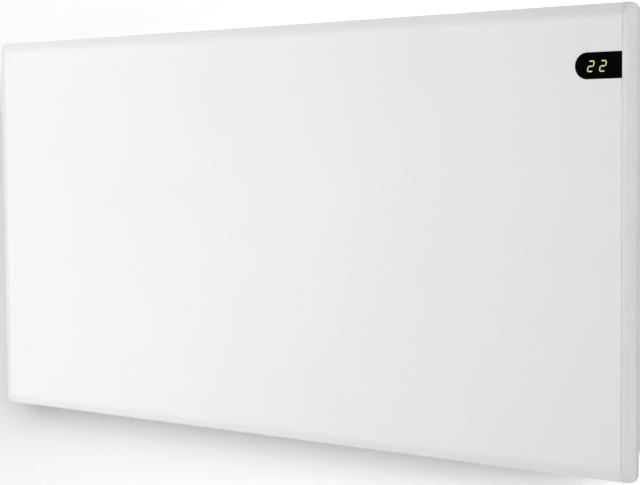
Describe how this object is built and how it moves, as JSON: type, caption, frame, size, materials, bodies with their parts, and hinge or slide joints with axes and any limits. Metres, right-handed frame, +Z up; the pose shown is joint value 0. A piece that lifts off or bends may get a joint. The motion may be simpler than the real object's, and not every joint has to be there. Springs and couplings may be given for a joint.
{
  "type": "wall panel convector heater",
  "caption": "Wall-hung electric panel convector heater: flat bevelled front, lit temperature display, side controls, louvred back and a latching wall bracket.",
  "frame": {"origin": "centre of the four wall holes of the bracket, in the plane of the wall", "axes": "+X along the heater towards its control end, +Y into the wall, +Z up"},
  "size_m": [0.719, 0.084, 0.37],
  "materials": {
    "white_enamel": "satin powder coat",
    "white_casing": "satin powder coat",
    "white_plastic": "fine moulded texture",
    "white_cap": "satin moulding",
    "window_black": "polished",
    "digit_glow": "lit bars",
    "digit_module": "moulded",
    "holder_plastic": "moulded",
    "board_green": "lacquered board",
    "button_grey": "satin",
    "switch_black": "moulded",
    "mark_white": "filled marks",
    "tactile_grey": "plated",
    "relay_blue": "moulded case",
    "transformer_black": "potted case",
    "capacitor_sleeve": "sleeve",
    "connector_white": "nylon",
    "gland_black": "moulded",
    "grommet_rubber": "moulded rubber",
    "sensor_white": "coated bead",
    "grille_enamel": "satin powder coat",
    "shield_steel": "galvanised",
    "fin_aluminium": "extruded",
    "rod_steel": "tarnished sheath",
    "pin_steel": "plated",
    "bush_ceramic": "glazed",
    "bracket_zinc": "zinc plated",
    "screw_zinc": "zinc plated",
    "cutout_body": "phenolic",
    "lead_sleeve": "heat resistant sleeve",
    "earth_sleeve": "insulation",
    "supply_sleeve": "insulation",
    "signal_sleeve": "insulation",
    "ribbon_grey": "ribbed film",
    "latch_plastic": "moulded",
    "spring_steel": "tempered"
  },
  "bodies": {
    "wall_bracket": {"bracket_left_upright": "bracket_zinc", "bracket_right_upright": "bracket_zinc", "bracket_upper_rail": "bracket_zinc", "bracket_lower_rail": "bracket_zinc", "bracket_rivets": "screw_zinc", "left_latch_pin": "pin_steel", "right_latch_pin": "pin_steel", "left_latch_spring": "spring_steel", "right_latch_spring": "spring_steel"},
    "left_latch": {"left_latch_lever": "latch_plastic"},
    "right_latch": {"right_latch_lever": "latch_plastic"},
    "power_rocker": {"power_switch_rocker": "switch_black", "power_switch_marks": "mark_white"},
    "plus_key": {"plus_button": "button_grey"},
    "minus_key": {"minus_button": "button_grey"},
    "ok_key": {"ok_button": "button_grey"},
    "heater": {"front_panel": "white_enamel", "right_end_cap": "white_cap", "rear_casing": "white_casing", "control_housing": "white_plastic", "outlet_grille": "grille_enamel", "inlet_grille": "grille_enamel", "heat_shield": "shield_steel", "display_window": "window_black", "display_digits": "digit_glow", "display_module": "digit_module", "display_holder": "holder_plastic", "display_board": "board_green", "display_ribbon": "ribbon_grey", "tactile_switches": "tactile_grey", "control_board": "board_green", "power_board": "board_green", "board_screws": "screw_zinc", "power_switch_body": "switch_black", "power_relay": "relay_blue", "supply_transformer": "transformer_black", "smoothing_capacitor": "capacitor_sleeve", "lead_connector": "connector_white", "terminal_block": "connector_white", "cord_inlet_gland": "gland_black", "lead_grommet": "grommet_rubber", "room_sensor": "sensor_white", "element_fins": "fin_aluminium", "element_rod": "rod_steel", "element_terminals": "pin_steel", "left_element_bush": "bush_ceramic", "right_element_bush": "bush_ceramic", "left_element_bracket": "bracket_zinc", "right_element_bracket": "bracket_zinc", "thermal_cutout": "cutout_body", "casing_screws": "screw_zinc", "element_bracket_screws": "screw_zinc", "shield_screws": "screw_zinc", "right_element_lead": "lead_sleeve", "left_element_lead": "lead_sleeve", "earth_lead": "earth_sleeve", "supply_leads": "supply_sleeve", "signal_lead": "signal_sleeve", "sensor_lead": "signal_sleeve"}
  },
  "joints": [
    {"name": "heater_tilt", "type": "hinge", "parent": "wall_bracket", "child": "heater", "pos_m": [0, -0.0205, -0.1395], "axis": [1, 0, 0], "range_deg": [0, 20]},
    {"name": "left_latch_press", "type": "hinge", "parent": "wall_bracket", "child": "left_latch", "pos_m": [-0.17, -0.009, 0.152], "axis": [1, 0, 0], "range_deg": [0, 10], "stiffness_Nm_per_rad": 0.5, "springref_deg": -8.59, "deforming": ["left_latch_spring"]},
    {"name": "right_latch_press", "type": "hinge", "parent": "wall_bracket", "child": "right_latch", "pos_m": [0.17, -0.009, 0.152], "axis": [1, 0, 0], "range_deg": [0, 10], "stiffness_Nm_per_rad": 0.5, "springref_deg": -8.59, "deforming": ["right_latch_spring"]},
    {"name": "power_rocker_tip", "type": "hinge", "parent": "heater", "child": "power_rocker", "pos_m": [0.341, -0.0476, 0.062], "axis": [0, 1, 0], "range_deg": [0, 18]},
    {"name": "plus_press", "type": "slide", "parent": "heater", "child": "plus_key", "axis": [-1, 0, 0], "range_m": [0, 0.0008], "stiffness_N_per_m": 800, "springref_m": -0.0005},
    {"name": "minus_press", "type": "slide", "parent": "heater", "child": "minus_key", "axis": [-1, 0, 0], "range_m": [0, 0.0008], "stiffness_N_per_m": 800, "springref_m": -0.0005},
    {"name": "ok_press", "type": "slide", "parent": "heater", "child": "ok_key", "axis": [-1, 0, 0], "range_m": [0, 0.0008], "stiffness_N_per_m": 800, "springref_m": -0.0005}
  ]
}
